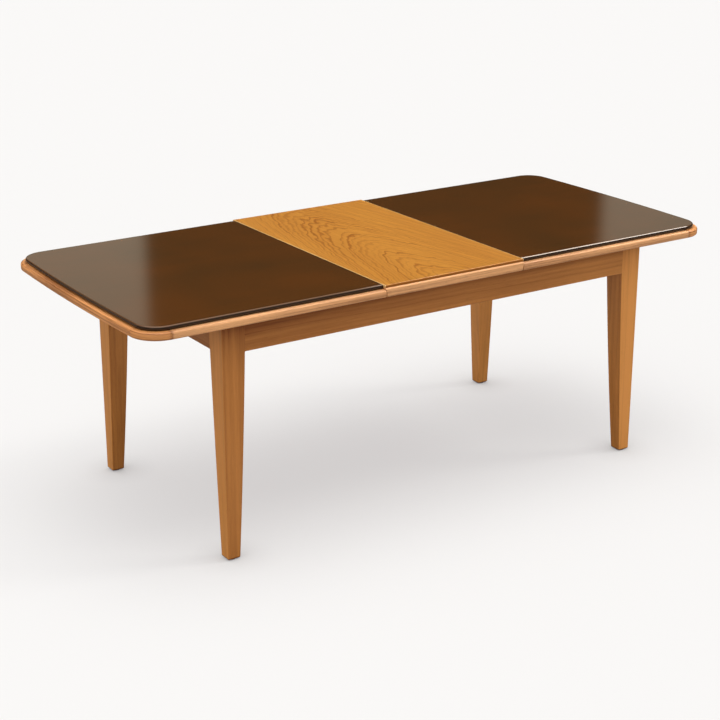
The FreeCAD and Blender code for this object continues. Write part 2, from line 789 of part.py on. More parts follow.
def build_runner(end, side):
    """Build one runner: a grooved bar with a hole for its stop peg and counterbored screw holes."""
    sign = ENDS[end]
    middle = SIDES[side] * RUNNER_OFFSETS[end]
    body = new_body(f"runner_{side}_{end}")
    start = -runner_inner_end if sign > 0 else -runner_outer_end
    length = runner_inner_end + runner_outer_end
    section = rectangle(middle - runner_width / 2, runner_bottom, middle + runner_width / 2, top_underside)
    towards_guide = SIDES[side] * sign
    groove_face = middle + towards_guide * runner_width / 2
    groove_half = tongue_thickness / 2 + tongue_clearance
    groove = rectangle(
        groove_face - towards_guide * groove_depth,
        tongue_middle - groove_half,
        groove_face,
        tongue_middle + groove_half,
    )
    screw_holes = [(sign * x, middle) for x in runner_screw_places]
    counterbore = screw_head_radius + side_clearance
    pad(body, "YZ", section, start, length)
    cut_outline(body, "YZ", groove, start, length)
    drill(body, "XY", [(-sign * stop_peg_place, middle)], stop_peg_radius, runner_bottom, runner_height)
    drill(body, "XY", screw_holes, screw_radius, runner_bottom, runner_height)
    drill(body, "XY", screw_holes, counterbore, runner_bottom, counterbore_depth)


def build_runner_fixings(end):
    """Build the screws that hold the runners up and the pegs that stop the half-top."""
    sign = ENDS[end]
    grip = runner_height - counterbore_depth
    screws, pegs = [], []
    for x, y in across_both_sides(RUNNER_OFFSETS[end], runner_screw_places):
        name = f"runner_screw_{end}_{len(screws)}"
        screws.append(screw(name, sign * x, y, runner_bottom + counterbore_depth, grip))
    for side, y_sign in SIDES.items():
        name = f"stop_peg_{side}_{end}"
        length = stop_peg_drop + runner_height - guide_headroom
        y = y_sign * RUNNER_OFFSETS[end]
        low = runner_bottom - stop_peg_drop
        pegs.append(cylinder(name, stop_peg_radius, length, -sign * stop_peg_place, y, low))
    grouped(f"runner_screws_{end}", screws)
    grouped(f"stop_pegs_{end}", pegs)


# --- Leaf ------------------------------------------------------------------------------------
# One solid board that drops in from above. Its long edges lean inwards towards the underside, so
# that it comes free as soon as it is lifted. Edging is let in under its two short ends.
leaf_end = half_width - leaf_edging_reveal
leaf_edging_top = top_underside + leaf_edging_height


def leaf_half_width(height):
    """Return half the width of the leaf at a height."""
    return seam + leaf_lean * (height - panel_underside) - leaf_clearance


def leaf_section(high):
    """Return the leaning section of the leaf, from its underside up to a height."""
    low_half, high_half = leaf_half_width(top_underside), leaf_half_width(high)
    return [(-low_half, top_underside), (low_half, top_underside), (high_half, high), (-high_half, high)]


def build_leaf():
    """Build the leaf's board, rebated for its edging and drilled for pegs and screws."""
    body = new_body("leaf_board")
    reach = leaf_half_width(top_height)
    pad(body, "XZ", leaf_section(top_height), -leaf_end, 2 * leaf_end)
    for sign in SIDES.values():
        inner = sign * (half_width - edging_depth)
        rebate = rectangle(inner, top_underside, sign * leaf_end, leaf_edging_top)
        cut_outline(body, "YZ", rebate, -reach, 2 * reach)
    soften(body, "Fillet", leaf_top_round, is_leaf_arris)
    pegs = [(0, sign * guide_gap_middle) for sign in SIDES.values()]
    drill(body, "XY", pegs, leaf_peg_radius, top_underside, leaf_peg_embed)
    drill(body, "XY", batten_screw_places(), screw_radius, top_underside, screw_bite)


def is_leaf_arris(points):
    """Pick the upper edges of the leaf's two short ends."""
    return all_at(points, "z", top_height) and (all_at(points, "y", leaf_end) or all_at(points, "y", -leaf_end))


def build_leaf_edging(side):
    """Build the strip of edging let in under one short end of the leaf."""
    outer = SIDES[side] * half_width
    body = new_body(f"leaf_edging_{side}")
    start = outer - edging_depth if side == "back" else outer
    pad(body, "XZ", leaf_section(leaf_edging_top), start, edging_depth)
    for height, radius in ((leaf_edging_top, edging_top_round), (top_underside, edging_bottom_round)):
        soften(body, "Fillet", radius, is_edging_arris(outer, height))


def is_edging_arris(outer, height):
    """Return a test that picks the outer edge of the leaf's edging at a height."""
    return lambda points: all_at(points, "y", outer) and all_at(points, "z", height)


def batten_screw_places():
    """Return where the batten screws enter the leaf."""
    return across_both_sides(batten_offset, [-batten_screw_pitch, as_size(0), batten_screw_pitch])


def build_battens():
    """Build the two battens that keep the leaf flat, and their screws."""
    low = top_underside - batten_thickness
    for side, sign in SIDES.items():
        body = new_body(f"leaf_batten_{side}")
        middle = sign * batten_offset
        outline = rectangle(
            -batten_length / 2, middle - batten_width / 2, batten_length / 2, middle + batten_width / 2
        )
        holes = [(x, y) for x, y in batten_screw_places() if y.value * sign > 0]
        pad(body, "XY", outline, low, batten_thickness)
        drill(body, "XY", holes, screw_radius, low, batten_thickness)
    screws = []
    for x, y in batten_screw_places():
        screws.append(screw(f"batten_screw_{len(screws)}", x, y, low, batten_thickness))
    grouped("batten_screws", screws)


def build_leaf_pegs():
    """Build the pegs under the leaf that drop into the guides in the middle of the frame."""
    length = leaf_peg_drop + leaf_peg_embed
    low = top_underside - leaf_peg_drop
    pegs = []
    for side, sign in SIDES.items():
        pegs.append(cylinder(f"leaf_peg_{side}", leaf_peg_radius, length, 0, sign * guide_gap_middle, low))
    grouped("leaf_pegs", pegs)


# --- The table -------------------------------------------------------------------------------
for corner_name in CORNERS:
    build_leg(corner_name)
    build_brace(corner_name)
for side_name in SIDES:
    build_long_apron(side_name)
    build_leaf_edging(side_name)
for end_name in ENDS:
    build_end_apron(end_name)
    build_board(end_name)
    build_panel(end_name)
    build_edging(end_name)
    build_runner_fixings(end_name)
    for side_name in SIDES:
        build_runner(end_name, side_name)
for rail_name in RAILS:
    build_rail(rail_name)
build_floor_glides()
build_glide_strips()
build_leg_fixings()
build_guides()
build_guide_screws()
build_leaf()
build_leaf_pegs()
build_battens()

# --- Checks and files ------------------------------------------------------------------------
document.recompute()
for item in document.Objects:
    if "Invalid" in item.State or "Error" in item.State:
        raise RuntimeError(f"{item.Label} failed: {item.State}")
    if item.TypeId == "PartDesign::Pocket" and item.Shape.Volume >= item.BaseFeature.Shape.Volume:
        raise RuntimeError(f"{item.Label} cuts nothing")
os.makedirs("parts", exist_ok=True)
for label, item in sub_parts.items():
    if item.Shape.isNull() or not item.Shape.isValid():
        raise RuntimeError(f"{label} has no valid shape")
    item.Shape.exportStep(f"parts/{label}.step")
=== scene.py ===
"""Looks of an extending dining table: two dark half-tops, a pale loose leaf and a wooden frame.

The CAD bodies are the fixed frame. X runs along the table, Y across it to the back and Z up, all
in metres. Each section makes one group of pieces, in the order in which the table goes together.
"""
import math

import bmesh
import bpy
import numpy as np
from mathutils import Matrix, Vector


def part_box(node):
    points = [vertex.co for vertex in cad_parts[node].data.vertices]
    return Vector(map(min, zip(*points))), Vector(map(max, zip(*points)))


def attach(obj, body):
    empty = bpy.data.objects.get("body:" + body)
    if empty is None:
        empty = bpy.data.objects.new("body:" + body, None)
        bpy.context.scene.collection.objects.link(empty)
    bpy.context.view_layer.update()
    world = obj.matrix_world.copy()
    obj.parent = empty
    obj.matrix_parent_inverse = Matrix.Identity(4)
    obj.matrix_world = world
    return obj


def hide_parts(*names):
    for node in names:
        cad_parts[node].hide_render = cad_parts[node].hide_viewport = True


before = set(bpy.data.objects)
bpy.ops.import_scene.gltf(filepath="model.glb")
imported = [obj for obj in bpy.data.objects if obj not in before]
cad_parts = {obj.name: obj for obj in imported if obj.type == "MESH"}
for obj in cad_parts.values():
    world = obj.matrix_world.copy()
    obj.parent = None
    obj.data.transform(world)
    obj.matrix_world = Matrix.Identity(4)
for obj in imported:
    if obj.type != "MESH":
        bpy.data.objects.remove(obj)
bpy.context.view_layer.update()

# --- Camera ----------------------------------------------------------------------------------
# A long lens that looks down on the table from beyond its left front corner, with the two long
# sides of the top running away to the right.
CAMERA_PLACE = (-2.7372, -4.0921, 2.0866)
CAMERA_TURN = math.radians(33.34)
CAMERA_DIP = math.radians(19.49)
LENS_MM = 80.83

camera = bpy.data.objects.new("camera", bpy.data.cameras.new("camera"))
camera.location = CAMERA_PLACE
camera.rotation_euler = (math.pi / 2 - CAMERA_DIP, 0, -CAMERA_TURN)
camera.data.lens = LENS_MM
bpy.context.scene.collection.objects.link(camera)
bpy.context.scene.camera = camera
bpy.context.scene.view_settings.view_transform = "Standard"

# --- Legs ------------------------------------------------------------------------------------
# Four square legs of beech, plumb on their outer faces and planed to a taper on the inner ones
# below the aprons. The arrises are eased, and the foot is chamfered, its chamfer much deeper in
# tone. Each face has its own tone, partly a different cut of the wood and partly painted light
# and shade, where the light falls more on one face than another.
LEG_TOP_WIDTH = 0.072
LEG_FOOT_WIDTH = 0.040
LEG_BELLY = 0.002
LEG_ARRIS = 0.002
LEG_INNER_ARRIS = 0.001
LEG_MORTISE_FLAT = 0.020
JOINT_ARRIS = 0.0004
FOOT_CHAMFER = 0.003
FOOT_STAIN_FADE = 0.002
FOOT_DEPTH = 1.5
TAPER_STATIONS = 25
ARC_STEPS = 5
FACETS_FROM = math.radians(30)
# How much deeper than the wood's mean the end, long, inner end and inner long faces are painted:
# their own tone and painted light and shade together.
LEG_TONES_AND_PAINTED_LIGHT = {
    "front_left": (-0.3, 0.06, 0.1, 0.1),
    "front_right": (-0.3, -0.46, 0.04, 0.0),
    "back_left": (-0.3, 0.0, 0.1, 0.09),
    "back_right": (-0.2, -0.2, -0.3, -0.32),
}
# How much deeper the wood is painted right under the top, and how fast that fades: painted shade.
PAINTED_SHADE_DEPTH = 0.65
PAINTED_SHADE_REACH = 0.03
MM = 0.001

apron_low, apron_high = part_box("apron_front")
shoulder = apron_low.z
frame_top = apron_high.z


def rounded_polygon(corners, radii, steps=ARC_STEPS):
    """Round the corners of closed polygons, given as an array (..., corners, 2).

    The arc at corner P with directions a and b to its neighbours, half-angle h between them, has
    its centre at P + m r / sin h, m being the unit bisector. Its points are centre - r (m cos t
    + n sin t), with n across m and t from -(90 deg - h) to +(90 deg - h).
    """
    corners = np.asarray(corners, float)
    radii = np.broadcast_to(np.asarray(radii, float), corners.shape[:-1])[..., None]
    before = np.roll(corners, 1, axis=-2) - corners
    after = np.roll(corners, -1, axis=-2) - corners
    before /= np.linalg.norm(before, axis=-1, keepdims=True)
    after /= np.linalg.norm(after, axis=-1, keepdims=True)
    middle = before + after
    middle /= np.linalg.norm(middle, axis=-1, keepdims=True)
    across = before - after
    across /= np.linalg.norm(across, axis=-1, keepdims=True)
    half = np.arccos(np.clip((before * middle).sum(-1, keepdims=True), -1, 1))
    centre = corners + middle * radii / np.sin(half)
    turn = (math.pi / 2 - half)[..., None, :] * np.linspace(-1, 1, steps)[:, None]
    outward = middle[..., None, :] * np.cos(turn) + across[..., None, :] * np.sin(turn)
    points = centre[..., None, :] - radii[..., None, :] * outward
    return points.reshape(*corners.shape[:-2], -1, 2)


def closed_skin(name, rings, grain):
    """Join rings of points, an array (rings, points, 3), into a closed mesh with a cap at each end.

    Face (i, j) spans points j and j + 1 of rings i and i + 1. grain holds each point's place in
    the plank: along, across and through the wood, so that the figure follows the piece.
    """
    count, around = rings.shape[:2]
    index = np.arange(count * around).reshape(count, around)
    beside = np.roll(index, -1, axis=1)
    sides = np.stack([index[:-1], beside[:-1], beside[1:], index[1:]], axis=-1).reshape(-1, 4)
    mesh = bpy.data.meshes.new(name)
    caps = [index[0, ::-1].tolist(), index[-1].tolist()]
    mesh.from_pydata(rings.reshape(-1, 3).tolist(), [], sides.tolist() + caps)
    work = bmesh.new()
    work.from_mesh(mesh)
    bmesh.ops.recalc_face_normals(work, faces=work.faces)
    work.to_mesh(mesh)
    work.free()
    mesh.shade_smooth()
    mesh.set_sharp_from_angle(angle=FACETS_FROM)
    place = mesh.attributes.new("grain", "FLOAT_VECTOR", "POINT")
    place.data.foreach_set("vector", np.ascontiguousarray(grain, np.float32).ravel())
    return mesh


# Each plank is cut from its own place, up to this many metres either way along an endless tree.
PLANK_SPREAD = 40
plank_offsets = np.random.default_rng(7)


def add_piece(name, rings, grain, material, body, nodes, depth=0):
    """Put a skin in the scene on its body, in the place of CAD nodes, cut from its own plank.

    depth makes the plank deeper in tone, or paler where it is negative. On the legs and the leaf's
    edges it also carries painted light and shade. It is one number for the whole piece or an array
    that fits (rings, points).
    """
    offset = plank_offsets.uniform(-1, 1, 3) * (PLANK_SPREAD, 0, 0)
    mesh = closed_skin(name, rings, grain + offset)
    tone = mesh.attributes.new("plank_tone_and_painted_shade", "FLOAT", "POINT")
    spread = np.broadcast_to(np.asarray(depth, np.float32), rings.shape[:2])
    tone.data.foreach_set("value", np.ascontiguousarray(spread).ravel())
    piece = bpy.data.objects.new(name, mesh)
    piece.data.materials.append(material)
    bpy.context.scene.collection.objects.link(piece)
    piece.modifiers.new("flat faces stay flat", "WEIGHTED_NORMAL").keep_sharp = True
    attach(piece, body)
    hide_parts(*nodes)
    return piece


def linear(hex_colour):
    """Turn an sRGB hex colour into linear red, green, blue and alpha."""
    channels = [int(hex_colour[i : i + 2], 16) / 255 for i in (0, 2, 4)]
    return [c / 12.92 if c <= 0.04045 else ((c + 0.055) / 1.055) ** 2.4 for c in channels] + [1]


def add(tree, kind, inputs=(), **settings):
    """Add a node with its settings. inputs maps a socket to a value, or to a socket to link.

    Sockets without a name of their own go by number: a Mix node blends 2 and 3 where they are
    numbers and 6 and 7 where they are colours, and a MapRange takes value 0 from 1..2 to 3..4.
    """
    made = tree.nodes.new("ShaderNode" + kind)
    for key, value in settings.items():
        setattr(made, key, value)
    for key, value in dict(inputs).items():
        if isinstance(value, bpy.types.NodeSocket):
            tree.links.new(value, made.inputs[key])
        else:
            made.inputs[key].default_value = value
    return made


def new_material(name):
    """Return an empty material's node tree, with the material itself."""
    material = bpy.data.materials.new(name)
    material.use_nodes = True
    material.node_tree.nodes.clear()
    return material, material.node_tree


def weighted(tree, base, *terms):
    """Return base + the sum of weight * (socket - middle) over (socket, weight, middle) terms."""
    total = base
    for socket, weight, middle in terms:
        start = add(tree, "Math", {0: total, 1: weight * middle}, operation="SUBTRACT").outputs[0]
        summed = add(tree, "Math", {0: socket, 1: weight, 2: start}, operation="MULTIPLY_ADD")
        total = summed.outputs[0]
    return total


# How often each pattern of a wood repeats in a metre along, across and through the grain. Fibres
# and pores are drawn 2.4 mm and 1.1 mm wide, several times their real width, so that they show.
WANDERING = (2.2, 9, 9)
WAVES = (22, 45, 45)
FIBRES = (12, 420, 420)
PORES = (45, 900, 900)
STREAK_LENGTHS = 1.1
PATCHES = (2.5, 5, 5)
# The share of a ring's width at which its late wood starts, is full, starts to end and has ended.
LATE_WOOD = (0.3, 0.85, 0.88, 1.0)


def wood(name, pale, deep, heart, taper, ring_mm, wander_mm, wave_mm, figure, streak, roughness,
         turn=None, painted_shade_under_top=0, streaks_per_m=70):
    """Return a solid wood: cones of growth rings round a heart line, with fibres and pores.

    radius = distance from the heart line + taper * length along the grain + slow wandering + short
    waves. Late wood is a smooth saw-tooth in radius / ring width, its strength a one-dimensional
    noise in the radius, so that no two rings are alike. The tone adds the figure, streaks along
    the grain, fibres and slow patches, each less its own mean. turn, in degrees about Z, lays the
    grain of a CAD node along X. Without it the plank's own grain attribute is read.
    painted_shade_under_top is how much deeper the tone is painted right under the top, a painted
    shade that falls off as exp(-distance / reach).
    """
    material, tree = new_material(name)
    if turn is None:
        place = add(tree, "Attribute", attribute_name="grain").outputs["Vector"]
    else:
        where = add(tree, "TexCoord").outputs["Object"]
        angle = (0, 0, math.radians(turn))
        place = add(tree, "Mapping", {"Vector": where, "Rotation": angle}).outputs[0]

    def grain_noise(per_metre, detail, harshness=0.5):
        stretched = add(tree, "Mapping", {"Vector": place, "Scale": per_metre}).outputs[0]
        settings = {"Vector": stretched, "Scale": 1, "Detail": detail, "Roughness": harshness}
        return add(tree, "TexNoise", settings).outputs[0]

    section = add(tree, "VectorMath", {0: place, 1: (0, 1, 1)}, operation="MULTIPLY").outputs[0]
    from_heart = add(tree, "VectorMath", {0: section, 1: (0, *heart)}, operation="SUBTRACT")
    distance = add(tree, "VectorMath", {0: from_heart.outputs[0]}, operation="LENGTH")
    length = add(tree, "SeparateXYZ", {0: place}).outputs[0]
    radius = weighted(
        tree,
        distance.outputs["Value"],
        (length, taper, 0),
        (grain_noise(WANDERING, 2), wander_mm * MM, 0.5),
        (grain_noise(WAVES, 2), wave_mm * MM, 0.5),
    )
    rings = add(tree, "Math", {0: radius, 1: ring_mm * MM}, operation="DIVIDE").outputs[0]
    saw = add(tree, "Math", {0: rings}, operation="FRACT").outputs[0]
    start, full, ending, end = LATE_WOOD
    rise = add(tree, "MapRange", {0: saw, 1: start, 2: full}, interpolation_type="SMOOTHSTEP")
    fall = add(tree, "MapRange", {0: saw, 1: end, 2: ending}, interpolation_type="SMOOTHSTEP")
    late = add(tree, "Math", {0: rise.outputs[0], 1: fall.outputs[0]}, operation="MULTIPLY")
    strength = add(tree, "TexNoise", {"W": rings, "Scale": 0.9, "Detail": 1}, noise_dimensions="1D")
    strong = add(tree, "MapRange", {0: strength.outputs[0], 1: 0.35, 2: 0.7})
    lines = add(tree, "Math", {0: late.outputs[0], 1: strong.outputs[0]}, operation="MULTIPLY")
    fibre = grain_noise(FIBRES, 3, 0.65)
    pores = add(tree, "MapRange", {0: grain_noise(PORES, 1), 1: 0.62, 2: 0.74})
    plank = add(tree, "Attribute", attribute_name="plank_tone_and_painted_shade").outputs["Fac"]
    height = add(tree, "SeparateXYZ", {0: add(tree, "TexCoord").outputs["Object"]}).outputs[2]
    under_top = weighted(tree, 0, (height, 1 / PAINTED_SHADE_REACH, frame_top))
    painted_shade_fall = add(tree, "Math", {0: under_top}, operation="EXPONENT").outputs[0]
    tone = weighted(
        tree,
        0.5,
        (plank, 1, 0),
        (painted_shade_fall, painted_shade_under_top, 0),
        (lines.outputs[0], figure, 0.2),
        (grain_noise((STREAK_LENGTHS, streaks_per_m, streaks_per_m), 3), 1.6 * streak, 0.5),
        (fibre, streak, 0.5),
        (pores.outputs[0], 0.4 * streak, 0.05),
        (grain_noise(PATCHES, 1), 0.9 * streak, 0.5),
    )
    colour = add(tree, "Mix", {0: tone, 6: linear(pale), 7: linear(deep)}, data_type="RGBA")
    sheen = add(tree, "MapRange", {0: fibre, 3: roughness - 0.05, 4: roughness + 0.05})
    relief = add(tree, "Bump", {"Height": fibre, "Strength": 0.12, "Distance": 0.0004})
    surface = add(
        tree,
        "BsdfPrincipled",
        {
            "Base Color": colour.outputs[2],
            "Roughness": sheen.outputs[0],
            "Normal": relief.outputs[0],
            "IOR": 1.42,
        },
    )
    add(tree, "OutputMaterial", {"Surface": surface.outputs[0]})
    return material


# Beech, stained to a honey brown under a satin varnish. Its rings are faint and its streaks soft,
# and it is painted deeper right under the top, a painted shade from the overhang.
stained_beech = wood(
    "stained_beech", "dd9349", "7c400a", heart=(0.13, 0.09), taper=0.012, ring_mm=13, wander_mm=14,
    wave_mm=2, figure=0.15, streak=0.33, roughness=0.36, painted_shade_under_top=PAINTED_SHADE_DEPTH,
)


def leg_width(height, foot):
    """Width at a height: a straight taper from shoulder to foot, plus the belly of a parabola."""
    down = np.clip((shoulder - height) / (shoulder - foot), 0, 1)
    belly = 4 * LEG_BELLY * down * (1 - down)
    return LEG_TOP_WIDTH + (LEG_FOOT_WIDTH - LEG_TOP_WIDTH) * down + belly


for depth, y_sign in (("front", -1), ("back", 1)):
    for end, x_sign in (("left", -1), ("right", 1)):
        node = f"leg_{depth}_{end}"
        low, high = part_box(node)
        chamfer_top = low.z + FOOT_CHAMFER
        taper_stations = np.linspace(chamfer_top + FOOT_STAIN_FADE, shoulder, TAPER_STATIONS)
        height = np.concatenate([[low.z, chamfer_top], taper_stations, [shoulder, high.z]])
        below_apron = np.arange(len(height)) < len(height) - 2
        inset = np.concatenate([[FOOT_CHAMFER], np.zeros(len(height) - 1)])
        flat = np.where(below_apron, LEG_INNER_ARRIS, LEG_MORTISE_FLAT)
        far = leg_width(height, low.z) - inset
        corners = np.stack(
            [
                np.stack([inset, inset], -1),
                np.stack([far, inset], -1),
                np.stack([far, far - flat], -1),
                np.stack([far - flat, far], -1),
                np.stack([inset, far], -1),
            ],
            axis=1,
        )
        beside_apron = np.where(below_apron, LEG_ARRIS, JOINT_ARRIS)
        inner = np.full(len(height), LEG_INNER_ARRIS / 4)
        outer = np.full(len(height), LEG_ARRIS)
        radii = np.stack([outer, beside_apron, inner, inner, beside_apron], -1)
        outline = rounded_polygon(corners, radii)
        outer_x = low.x if x_sign < 0 else high.x
        outer_y = low.y if y_sign < 0 else high.y
        level = np.broadcast_to(height[:, None], outline.shape[:2])
        rings = np.stack(
            [outer_x - x_sign * outline[..., 0], outer_y - y_sign * outline[..., 1], level], -1
        )
        grain = np.stack([level, outline[..., 0], outline[..., 1]], -1).reshape(-1, 3)
        end_face, long_face, inner_end, inner_long = LEG_TONES_AND_PAINTED_LIGHT[f"{depth}_{end}"]
        inner_corner = (inner_end + inner_long) / 2
        after_corner = np.array([long_face, inner_end, inner_corner, inner_long, end_face])
        tone = np.linspace(np.roll(after_corner, 1), after_corner, ARC_STEPS, axis=-1).ravel()
        tone = tone + FOOT_DEPTH * (height <= chamfer_top)[:, None]
        add_piece(f"{node}_wood", rings, grain, stained_beech, "frame", [node], tone)

# --- Aprons ----------------------------------------------------------------------------------
# Four beech boards, tenoned into the legs flush with their outer faces, with the grain along
# them and softened edges. Each runs from one tone to another over its length.
APRON_ARRIS = 0.0015
JOINT_EASE = 0.0002
TENON_STUB = 0.004
TENON_SHOULDER = 0.002
APRON_TONES = {"front": (0.14, -0.2), "back": (0.1, 0.2), "left": (0.1, 0.1), "right": (0.1, 0)}


def drawn_in(section, ease):
    """Shrink a section: its outermost points move in by ease, the others in proportion.

    point = middle + (point - middle) * (1 - ease / half size), along each axis on its own.
    """
    middle = (section.max(0) + section.min(0)) / 2
    half = (section.max(0) - section.min(0)) / 2
    return middle + (section - middle) * (1 - ease / half)


def board_rings(stations, section, eases, axis):
    """Carry a section (points, 2) along an axis, drawn in at each station by its ease.

    axis 0 lays the board along X with the section in Y and Z. axis 1 lays it along Y with the
    section in X and Z.
    """
    placed = drawn_in(section, np.asarray(eases)[:, None, None])
    run = np.broadcast_to(np.asarray(stations)[:, None], placed.shape[:2])
    grain = np.stack([run, placed[..., 1], placed[..., 0]], -1).reshape(-1, 3)
    if axis == 0:
        return np.stack([run, placed[..., 0], placed[..., 1]], -1), grain
    return np.stack([placed[..., 0], run, placed[..., 1]], -1), grain


def box_section(low, high, radius):
    """Return a rounded rectangle between two corners, each given as (across, up)."""
    corners = [(low[0], low[1]), (high[0], low[1]), (high[0], high[1]), (low[0], high[1])]
    return rounded_polygon(corners, radius)


leg_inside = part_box("leg_front_left")[1]
for side, axis in (("front", 0), ("back", 0), ("left", 1), ("right", 1)):
    node = f"apron_{side}"
    low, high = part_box(node)
    reach = abs(leg_inside[axis])
    stations = np.array([-1, -1, -1, 1, 1, 1]) * reach
    stations += np.array([-TENON_STUB, -JOINT_EASE, 0, 0, JOINT_EASE, TENON_STUB])
    other = 1 - axis
    section = box_section((low[other], low.z), (high[other], high.z), APRON_ARRIS)
    eases = TENON_SHOULDER * np.array([1, 1, 0, 0, 1, 1])
    rings, grain = board_rings(stations, section, eases, axis)
    tone = np.interp(stations, (-reach, reach), APRON_TONES[side])[:, None]
    add_piece(f"{node}_wood", rings, grain, stained_beech, "frame", [node], tone)

# --- Half-top panels -------------------------------------------------------------------------
# A dark brown panel lies on each half-top. It is sprayed with many coats of clear lacquer and
# polished, so it mirrors the room softly, and its rounded rim carries a thin bright line.
CORNER_RADIUS = 0.085
END_BOW = 0.012
PANEL_REVEAL = 0.015
PANEL_TOP_ROUND = 0.0055
PANEL_BOTTOM_ROUND = 0.0065
SEAM_LEAN = 0.2
SEAM_ARRIS = 0.0005
STRAIGHT_STATIONS = 12
CORNER_STATIONS = 24
END_STATIONS = 32
PARTS = ("front", "corner_front", "end", "corner_back", "back")

half_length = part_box("edging_end_right")[1].x
half_width = -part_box("edging_front_right")[0].y
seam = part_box("edging_front_right")[0].x
bow_radius = (half_width**2 + END_BOW**2) / (2 * END_BOW)
bow_middle = half_length - bow_radius
corner_y = half_width - CORNER_RADIUS
corner_x = bow_middle + math.sqrt((bow_radius - CORNER_RADIUS) ** 2 - corner_y**2)
bow_angle = math.asin(corner_y / (bow_radius - CORNER_RADIUS))


def edge_run(part, inset, seam_x):
    """Return one stretch of the right half-top's outline for each inset: (stations, insets, 2).

    Straights run between the seam and the corner. Corners and the bowed end are arcs,
    centre + (radius - inset) * (cos a, sin a), tangent to each other and to the straights.
    """
    inset = np.asarray(inset, float)[None, :]
    if part in ("front", "back"):
        side = -1 if part == "front" else 1
        share = np.linspace(0, 1, STRAIGHT_STATIONS)[:, None]
        share = share if part == "front" else 1 - share
        x = np.asarray(seam_x, float)[None, :] * (1 - share) + corner_x * share
        return np.stack([x, side * (half_width - inset) + 0 * x], -1)
    start, stop, centre, radius = {
        "corner_front": (-math.pi / 2, -bow_angle, (corner_x, -corner_y), CORNER_RADIUS),
        "end": (-bow_angle, bow_angle, (bow_middle, 0), bow_radius),
        "corner_back": (bow_angle, math.pi / 2, (corner_x, corner_y), CORNER_RADIUS),
    }[part]
    angle = np.linspace(start, stop, END_STATIONS if part == "end" else CORNER_STATIONS)[:, None]
    x = centre[0] + (radius - inset) * np.cos(angle)
    y = centre[1] + (radius - inset) * np.sin(angle)
    return np.stack([x, y], -1)


def outline_rings(inset, seam_x, height):
    """Return whole outlines of the right half-top, one ring for each inset and height."""
    runs = [edge_run(part, inset, seam_x) for part in PARTS]
    runs = [run if part == "front" else run[1:] for part, run in zip(PARTS, runs)]
    plan = np.concatenate(runs).transpose(1, 0, 2)
    level = np.broadcast_to(np.asarray(height)[:, None, None], (*plan.shape[:2], 1))
    return np.concatenate([plan, level], -1)


def quarter_round(radius, steps=8):
    """Return inset and drop of a quarter round, from the flat face to the upright one."""
    angle = np.linspace(0, math.pi / 2, steps)
    return radius * (1 - np.sin(angle)), radius * (1 - np.cos(angle))


def turned(rings, end):
    """Give what is drawn for the right end half a turn about Z for the left one."""
    return rings if end == "right" else rings * (-1, -1, 1)


def gloss_lacquer():
    """Return the panels' finish: dark brown stained veneer under thick polished lacquer.

    The stain gives slow patches of warmer and blacker brown, 310 mm across, and hardly visible
    streaks of grain along the table, 24 mm wide. The rim is painted nearly black wherever the
    surface turns away from above, a painted shade under its rounded edge. The polish leaves an
    almost mirror-like surface.
    """
    material, tree = new_material("dark_gloss_lacquer")
    place = add(tree, "Attribute", attribute_name="grain").outputs["Vector"]
    patch = add(tree, "TexNoise", {"Vector": place, "Scale": 3.2, "Detail": 2, "Roughness": 0.5})
    streaks = add(tree, "Mapping", {"Vector": place, "Scale": (0.6, 14, 14)}).outputs[0]
    figure = add(tree, "TexNoise", {"Vector": streaks, "Scale": 3, "Detail": 5, "Roughness": 0.6})
    mottling = {0: figure.outputs[0], 1: 0.35, 2: patch.outputs[0]}
    blend = add(tree, "Math", mottling, operation="MULTIPLY_ADD")
    tone = add(tree, "MapRange", {0: blend.outputs[0], 1: 0.45, 2: 0.95})
    browns = {0: tone.outputs[0], 6: linear("4c2f13"), 7: linear("5c3412")}
    colour = add(tree, "Mix", browns, data_type="RGBA")
    # Painted shade: the rim goes near black as its surface turns away from above.
    facing = add(tree, "SeparateXYZ", {0: add(tree, "TexCoord").outputs["Normal"]}).outputs[2]
    painted_rim_shade = add(tree, "MapRange", {0: facing, 1: 0.9, 2: 0.3})
    rim_shade_blend = {0: painted_rim_shade.outputs[0], 6: colour.outputs[2], 7: linear("24160c")}
    colour_with_painted_shade = add(tree, "Mix", rim_shade_blend, data_type="RGBA")
    surface = add(
        tree, "BsdfPrincipled", {"Base Color": colour_with_painted_shade.outputs[2], "Roughness": 0.07, "IOR": 1.5}
    )
    add(tree, "OutputMaterial", {"Surface": surface.outputs[0]})
    return material


dark_lacquer = gloss_lacquer()

for end in ("left", "right"):
    node = f"panel_{end}"
    low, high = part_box(node)
    top_inset, top_drop = quarter_round(PANEL_TOP_ROUND)
    foot_inset, foot_drop = quarter_round(PANEL_BOTTOM_ROUND, steps=5)
    inset = PANEL_REVEAL + np.concatenate([foot_inset, top_inset[::-1]])
    height = np.concatenate([low.z + foot_drop, high.z - top_drop[::-1]])
    lean = seam + SEAM_LEAN * (height - low.z)
    arris = np.maximum(0, SEAM_ARRIS - (high.z - height))
    rings = outline_rings(inset, lean + arris, height)
    grain = rings.reshape(-1, 3)
    body = f"{end}_top"
    add_piece(
        f"{node}_lacquered", turned(rings, end), grain, dark_lacquer, body, [node]
    )

# --- Edging of the half-tops -----------------------------------------------------------------
# Solid beech edging is glued round each board in five pieces: two straights, two bent corners and
# the bowed end. Its outer face is rounded over, and each glued joint shows as a darker mark,
# clearest where a straight meets a corner.
EDGING_DEPTH = 0.025
EDGING_TOP_ROUND = 0.007
EDGING_BOTTOM_ROUND = 0.006
EDGING_BACK_ARRIS = 0.0003
JOINT_MARK = 0.006
